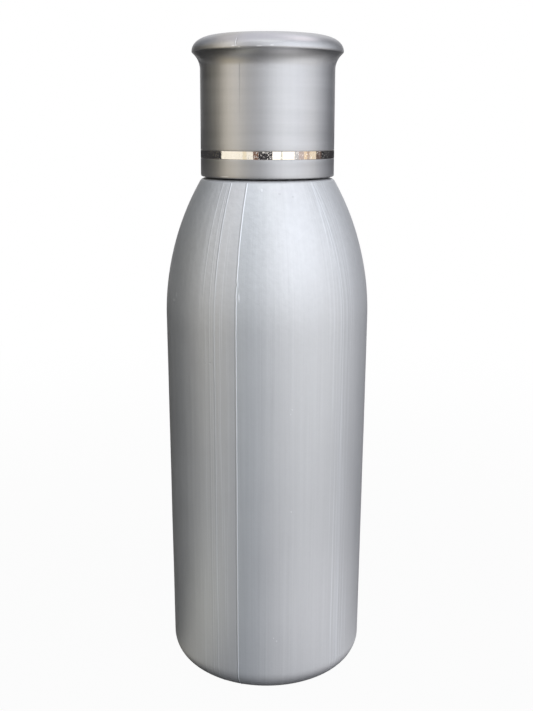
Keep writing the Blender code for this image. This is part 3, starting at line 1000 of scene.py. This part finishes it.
silverCap = {
    "base": (0.475, 0.475, 0.48), "warmTint": (1.02, 0.98, 0.90),
    "metallic": 0.80, "roughness": 0.345,
    "coat": 0.15, "coatRoughness": 0.12,
    "cloudSize": 9 * mm, "cloudTone": 0.12, "cloudRoughness": 0.08, "cloudRelief": 0.014,
    "pearlSize": 0.5 * mm, "pearlTone": 0.10,
    "ringSize": 2.2 * mm, "ringDrift": 0.06, "ringTone": 0.75, "ringRoughness": 0.12,
    "ringRelief": 0.034,
    "flowWidth": 0.9 * mm, "flowLength": 30 * mm, "flowTone": 0.16, "flowRelief": 0.012,
    "peelSize": 1.4 * mm, "peelRelief": 0.004,
    "rimFade": 1.2 * mm, "rimRelief": 0.030,
    "pitRange": (0.58, 0.72), "pitRelief": 0.02,
    "hemShadeTone": 0.16, "hemFade": 0.4 * mm,
    "seamTone": 0.55, "seamGrey": 0.12,
    "lipTone": 0.8, "lipGrey": 0.88,
    "glintTone": 0.6, "glintGrey": 0.85,
}
# painted glints on the rim and one under the band: azimuth, height, radius, across, along
rimGlints = [
    (-47, 156.0, 16.9, 0.35, 0.25),
    (-42, 156.6, 16.2, 0.25, 0.2),
    (-24.5, 154.5, 17.8, 0.8, 0.22),
    (-20.5, 154.2, 17.9, 0.4, 0.2),
    (-6, 154.3, 17.9, 0.9, 0.16),
    (3, 154.5, 17.8, 0.6, 0.14),
    (-38, 126.0, 16.1, 1.7, 0.22),
]


def capFinish():
    look = silverCap
    finish = Finish("pearl silver cap")
    cloud = finish.grain(look["cloudSize"], 3)
    pearl = finish.grain(look["pearlSize"])
    peel = finish.grain(look["peelSize"], 3)
    x, y, z = finish.split(finish.place)
    drift = {"Z": z, "X": x * look["ringDrift"], "Y": y * look["ringDrift"]}
    level = finish.node("ShaderNodeCombineXYZ", {}, drift)
    rings = finish.grain(look["ringSize"], 3, level)
    flow = finish.streaks(outerCap["skirt"], look["flowWidth"], look["flowLength"])
    tone = weighed(look, "Tone", cloud=cloud, pearl=pearl, ring=rings, flow=flow)
    # painted shade: a little darker below the band
    hem = 1 - finish.smooth(z, band["low"] - look["hemFade"], band["low"])
    tone = tone - hem * look["hemShadeTone"]
    colour = toned(finish, tone, look["base"])
    # painted warm light round the warm azimuth, partly the plastic's own warmer tone
    warm = toned(finish, tone, look["base"], tint=look["warmTint"])
    colour = finish.blend(finish.attribute("warmFlowAndLight"), colour, warm)
    # painted shade in the seam's groove, and a painted highlight on its ridge and its burr over the rim
    for name in ("seam", "lip"):
        share = finish.attribute("cap" + name.title()) * look[name + "Tone"]
        colour = finish.blend(share, colour, grey(look[name + "Grey"]))
    onRim = finish.smooth(z, outerCap["rim"], outerCap["rim"] + look["rimFade"])
    pits = finish.smooth(peel, *look["pitRange"]) * onRim
    # painted glints on the rim and under the band
    for azimuth, height, radius, across, along in rimGlints:
        fleck = finish.spot(azimuth, height * mm, radius * mm, across * mm, along * mm)
        colour = finish.blend(fleck * look["glintTone"], colour, grey(look["glintGrey"]))
    height = cloud * look["cloudRelief"] + rings * look["ringRelief"] + flow * look["flowRelief"]
    height = height + peel * (onRim * look["rimRelief"] + look["peelRelief"])
    height = height - pits * look["pitRelief"]
    return finish.set(
        Base_Color=colour,
        Metallic=look["metallic"],
        Roughness=weighed(look, "Roughness", cloud=cloud, ring=rings) + look["roughness"],
        Coat_Weight=look["coat"],
        Coat_Roughness=look["coatRoughness"],
        Normal=finish.bump(height),
    )


def makeOuterCap():
    seamZone = (-24.3, -21.6, 0.1)
    body = outerCapPath().turned(ringStops(2.5, [seamZone]))
    reshape(body, ["capSeam", "capLip", "warmFlowAndLight"], capRise)
    ribs = uprightBars(
        outerCap["ribs"],
        outerCap["ribWidth"],
        outerCap["bore"] - outerCap["ribDepth"],
        outerCap["bore"] + thread["sink"],
        outerCap["ceiling"] - outerCap["ribHeight"],
        outerCap["ceiling"] + thread["sink"],
    )
    finished(union(body, [ribs]), "outerCap", capFinish(), "cap", "cap_plastic", "outer_cap")


makeOuterCap()


# The mirror foil band in its groove

foilLook = {
    "warm": (0.86, 0.82, 0.75), "pale": (0.92, 0.88, 0.82),
    "roughness": 0.03,
    "fleckSize": 0.28 * mm, "fleckRange": (0.57, 0.62), "fleckRoughness": 0.22,
    "fleckRelief": 0.0015,
    "wrinkleWidth": 1.0 * mm, "wrinkleLength": 4 * mm, "wrinkleRelief": 0.006,
}


def foilFinish():
    look = foilLook
    finish = Finish("mirror foil")
    grain = finish.grain(look["fleckSize"], 3)
    wrinkle = finish.streaks(outerCap["skirt"], look["wrinkleWidth"], look["wrinkleLength"])
    flecks = finish.smooth(grain, *look["fleckRange"])
    return finish.set(
        Base_Color=finish.blend(wrinkle, tinted(look["warm"]), tinted(look["pale"])),
        Metallic=1.0,
        Roughness=look["roughness"] + flecks * look["fleckRoughness"],
        Normal=finish.bump(wrinkle * look["wrinkleRelief"] + grain * look["fleckRelief"]),
    )


def makeFoilBand():
    outer = skirtRadius(band["low"])
    inner = outer - band["thickness"]
    soft, low, high = band["soft"], band["low"], band["high"]
    path = Path(inner, high)
    path.line(outer - soft, high)
    path.line(outer, high - soft)
    path.line(outer + band["crown"], (low + high) / 2, cuts=3)
    path.line(outer, low + soft, cuts=3)
    path.line(outer - soft, low)
    path.line(inner, low)
    body = path.close().turned(ringStops(coarse=1.5))
    finished(body, "foilBand", foilFinish(), "cap", "band_foil", "foil_band")


makeFoilBand()


# Studio: a pale floor, soft panels, and cards that only reflections see

studio = {
    "floorSize": 6.0, "floorAlbedo": 0.16, "floorRoughness": 0.7,
    "nearWhite": 0.965,
    "fadeFrom": 0.05, "fadeTo": 0.40,
    "ambient": 0.19,
}
# azimuth, height and distance of the middle, size, and how bright the panel looks
panels = {
    "keyPanel": (40, 0.66, 1.00, (1.10, 0.60), (3.50, 3.48, 4.05)),
    "frontPanel": (15, 0.60, 1.00, (0.60, 0.60), (1.96, 2.12, 2.29)),
    "topPanel": (20, 1.10, 0.60, (1.40, 0.60), (2.88, 3.18, 3.50)),
    "backPanel": (180, 0.35, 1.00, (1.20, 0.70), (1.20, 1.20, 1.22)),
}
# What reflections see: a strip at the band's height as (from, to azimuth, glow), lobes of light on
# the wall as (azimuth, half width, glow), lobes that make it brighter or dimmer high up, lobes on
# the floor with their glow from the foot outwards, and spots on the ceiling as (x, y, glow).
strip = {"distance": 0.90, "low": 0.070, "high": 0.132, "blur": 0.1, "facet": 4.0}
stripPatches = [
    (-84, -42, (1.04, 1.00, 0.90)),
    (-42, -35, (0.92, 0.84, 0.66)),
    (-35, -24, (1.02, 0.99, 0.92)),
    (-24, -15, (0.20, 0.11, 0.08)),
    (-15, 8, (0.03, 0.028, 0.035)),
    (8, 22, (1.45, 1.42, 1.36)),
    (22, 25, (0.80, 0.79, 0.72)),
    (25, 46, (1.45, 1.42, 1.36)),
    (46, 54, (0.62, 0.62, 0.66)),
    (54, 64, (0.60, 0.50, 0.49)),
    (64, 70, (0.92, 0.74, 0.55)),
    (70, 76, (0.55, 0.42, 0.36)),
    (76, 90, (0.86, 0.74, 0.58)),
    (90, 104, (0.14, 0.10, 0.09)),
    (104, 276, (0.03, 0.03, 0.035)),
]
wallLobes = [
    (46, 102, (1.77, 1.82, 1.92)),
    (-60, 36, (1.14, 1.12, 1.15)),
    (-15, 60, (0.25, 0.24, 0.22)),
    (-80, 60, (0.25, 0.22, 0.14)),
    (180, 50, (0.70, 0.70, 0.71)),
]
highLobes = [
    (-90, 90, (0.26, 0.29, 0.37)),
    (45, 95, (-0.52, -0.50, -0.52)),
    (170, 42, (0.35, 0.35, 0.36)),
]
wallCard = {"distance": 1.00, "top": 1.20, "highFrom": 0.40, "highTo": 0.85}
# a floor lobe's glow changes over each of these stretches, counted from the axis
floorReach = [(0.0245, 0.0275), (0.040, 0.060), (0.070, 0.140), (0.200, 0.340)]
floorLobes = [
    (52, 88, [(0.78, 0.77, 0.79), (1.04, 1.02, 1.04), (0.56, 0.55, 0.53), (1.48, 1.47, 1.46)]),
    (-60, 42, [(0.50, 0.48, 0.42), (0.78, 0.76, 0.66), (0.43, 0.43, 0.43), (0.83, 0.74, 0.55)]),
]
floorCard = {"inner": 0.018, "fine": 0.078, "outer": 0.89, "lift": 0.0004}
ceilingCard = {"height": 1.20, "glow": (0.90, 0.88, 0.96), "spotRadius": 0.50}
ceilingSpots = [
    (0.6, 0.1, (1.28, 1.11, 1.09)),
    (0.0, -0.8, (1.20, 1.28, 1.12)),
    (0.35, 0.52, (0.70, 0.70, 0.72)),
    (-0.45, -0.55, (0.32, 0.32, 0.32)),
]


def makePanels():
    for name, (azimuth, height, distance, size, glow) in panels.items():
        light = bpy.data.lights.new(name, "AREA")
        light.shape = "RECTANGLE"
        light.size, light.size_y = size
        light.color = [c / max(glow) for c in glow]
        light.energy = max(glow) * math.pi * size[0] * size[1]
        lamp = bpy.data.objects.new(name, light)
        lamp.visible_camera = False
        lamp.visible_glossy = False
        bpy.context.scene.collection.objects.link(lamp)
        # its -Z side looks at the top of the wall
        lamp.location = polar(azimuth, distance, height)
        towards = Vector((0, 0, bottle["wallHeight"])) - lamp.location
        lamp.rotation_euler = towards.to_track_quat("-Z", "Y").to_euler()


def makeCard(name, bm, glowAt):
    # shapes the reflections, without lighting or shading anything
    glow = bm.verts.layers.float_color.new("glow")
    for vert in bm.verts:
        vert[glow] = (*glowAt(vert.co), 1)
    card = meshObject(name, bm)
    paint = Finish(name)
    colour = paint.attribute("glow", "Color")
    paint.set(Base_Color=grey(0.0), Roughness=1.0, Emission_Color=colour, Emission_Strength=1.0)
    card.data.materials.append(paint.material)
    card.visible_camera = False
    card.visible_diffuse = False
    card.visible_shadow = False


def lobesAt(lobes, point):
    total = Vector()
    for middle, halfWidth, glow in lobes:
        away = (azimuthOf(point) - middle + 180) % 360 - 180
        total += raised(away, halfWidth) * Vector(glow)
    return total


def stripGlow(point):
    azimuth = azimuthOf(point)
    if azimuth < stripPatches[0][0]:
        azimuth += 360
    return [glow for start, stop, glow in stripPatches if start <= azimuth][-1]


def wallGlow(point):
    share = ramp(point.z, wallCard["highFrom"], wallCard["highTo"])
    return lobesAt(wallLobes, point) + share * lobesAt(highLobes, point)


def floorGlow(point):
    # dark at the contact with the foot
    total = Vector()
    for middle, halfWidth, glows in floorLobes:
        glow = Vector()
        for (low, high), after in zip(floorReach, glows):
            glow = glow.lerp(after, ramp(point.xy.length, low, high))
        total += lobesAt([(middle, halfWidth, glow)], point)
    return total


def ceilingGlow(point):
    total = Vector(ceilingCard["glow"])
    for x, y, glow in ceilingSpots:
        away = (point.xy - Vector((x, y))).length
        total += raised(away, ceilingCard["spotRadius"]) * Vector(glow)
    return total


def makeCards():
    stops = []
    for start, stop, glow in stripPatches:
        low, high = start + strip["blur"], stop - strip["blur"]
        facets = math.ceil((high - low) / strip["facet"])
        stops += [low + (high - low) * i / facets for i in range(facets + 1)]
    upright = Path(strip["distance"], strip["low"]).line(strip["distance"], strip["high"])
    makeCard("stripCard", upright.turned(stops), stripGlow)
    wall = Path(wallCard["distance"], 0).line(wallCard["distance"], wallCard["top"], cuts=12)
    makeCard("wallCard", wall.turned(ringStops(coarse=5)), wallGlow)
    roof = Path(0, ceilingCard["height"])
    roof.line(wallCard["distance"], ceilingCard["height"], cuts=20)
    makeCard("ceilingCard", roof.turned(ringStops(coarse=10)), ceilingGlow)
    ring = Path(floorCard["inner"], floorCard["lift"])
    ring.line(floorCard["fine"], floorCard["lift"], cuts=60)
    ring.line(floorCard["outer"], floorCard["lift"], cuts=80)
    makeCard("floorCard", ring.turned(ringStops(coarse=10)), floorGlow)


def makeFloor():
    # pale and white to the eye, with the object's shadow on it
    bm = bmesh.new()
    bmesh.ops.create_grid(bm, x_segments=1, y_segments=1, size=studio["floorSize"] / 2)
    floor = meshObject("floor", bm)
    paint = Finish("pale floor")
    reach = paint.vectorMaths("LENGTH", paint.place, output="Value")
    far = paint.smooth(reach, studio["fadeFrom"], studio["fadeTo"])
    share = far * (1 - studio["nearWhite"]) + studio["nearWhite"]
    white = paint.node("ShaderNodeEmission", {}, {"Color": grey(1.0), "Strength": 1.0})
    paint.set(Base_Color=grey(studio["floorAlbedo"]), Roughness=studio["floorRoughness"])
    principled = Wire(paint, paint.shader.outputs["BSDF"])
    mixed = paint.node("ShaderNodeMixShader", {}, {0: paint.seen() * share, 1: principled, 2: white})
    paint.feed(paint.tree.nodes["Material Output"].inputs["Surface"], mixed)
    floor.data.materials.append(paint.material)


def makeWorld():
    # white to the eye, and a weak even light on surfaces
    world = bpy.data.worlds.new("studio air")
    bpy.context.scene.world = world
    world.use_nodes = True
    air = Nodes(world.node_tree)
    background = air.tree.nodes["Background"]
    levels = {"Value": air.seen(), "To Min": studio["ambient"], "To Max": 1.0}
    air.feed(background.inputs["Strength"], air.node("ShaderNodeMapRange", {}, levels))
    air.feed(background.inputs["Color"], grey(1.0))


camera = {
    "place": (-0.000107, -0.23712, 0.13774),
    "pitch": 13.5, "roll": 0.1375,
    "lens": 48.779, "sensor": 36,
    "clip": (0.01, 20),
}


def makeCamera():
    data = bpy.data.cameras.new("camera")
    data.sensor_width = camera["sensor"]
    data.lens = camera["lens"]
    data.clip_start, data.clip_end = camera["clip"]
    view = bpy.data.objects.new("camera", data)
    view.location = camera["place"]
    view.rotation_mode = "ZYX"
    view.rotation_euler = (math.radians(90 - camera["pitch"]), 0, math.radians(camera["roll"]))
    bpy.context.scene.collection.objects.link(view)
    bpy.context.scene.camera = view


makePanels()
makeCards()
makeFloor()
makeWorld()
makeCamera()
bpy.context.scene.view_settings.view_transform = "Standard"
print("studio and camera ready")
